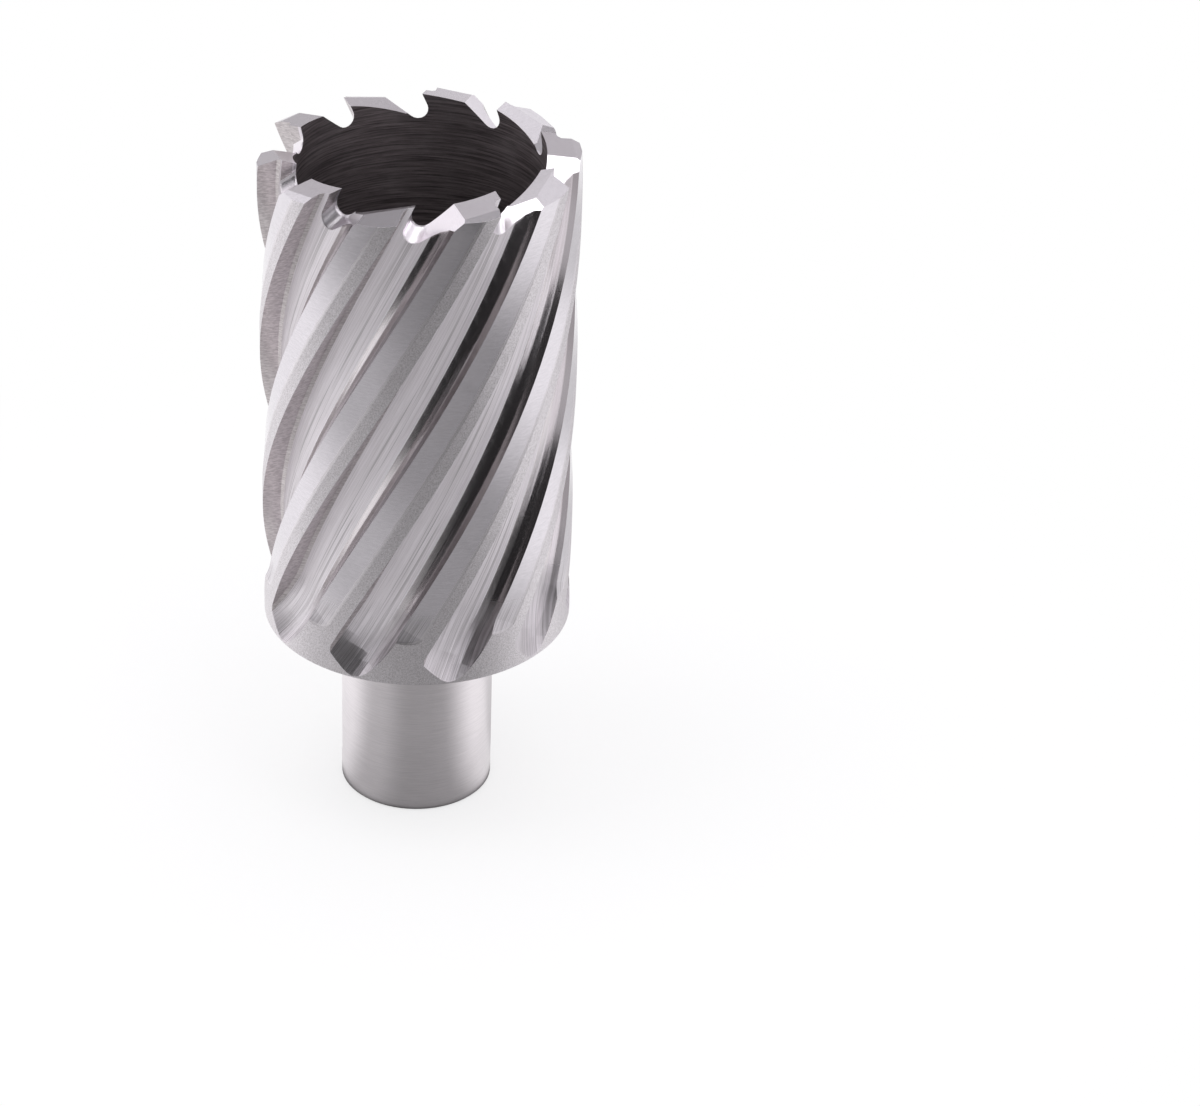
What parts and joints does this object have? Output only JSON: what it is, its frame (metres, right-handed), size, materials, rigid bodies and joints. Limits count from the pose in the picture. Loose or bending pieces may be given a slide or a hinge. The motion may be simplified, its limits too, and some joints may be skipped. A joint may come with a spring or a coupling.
{
  "type": "annular cutter",
  "caption": "Hollow cylindrical hole cutter with helical flutes, staggered ground teeth and a plain round shank with two drive flats.",
  "frame": {"origin": "centre of the shank's end face", "axes": "+Z along the cutter's axis, from the shank to the teeth"},
  "size_m": [0.0382, 0.0382, 0.0876],
  "materials": {
    "ground_steel": "ground and bright, satin on the shank and the collar"
  },
  "bodies": {
    "root": {"annular_cutter": "ground_steel"}
  },
  "joints": []
}
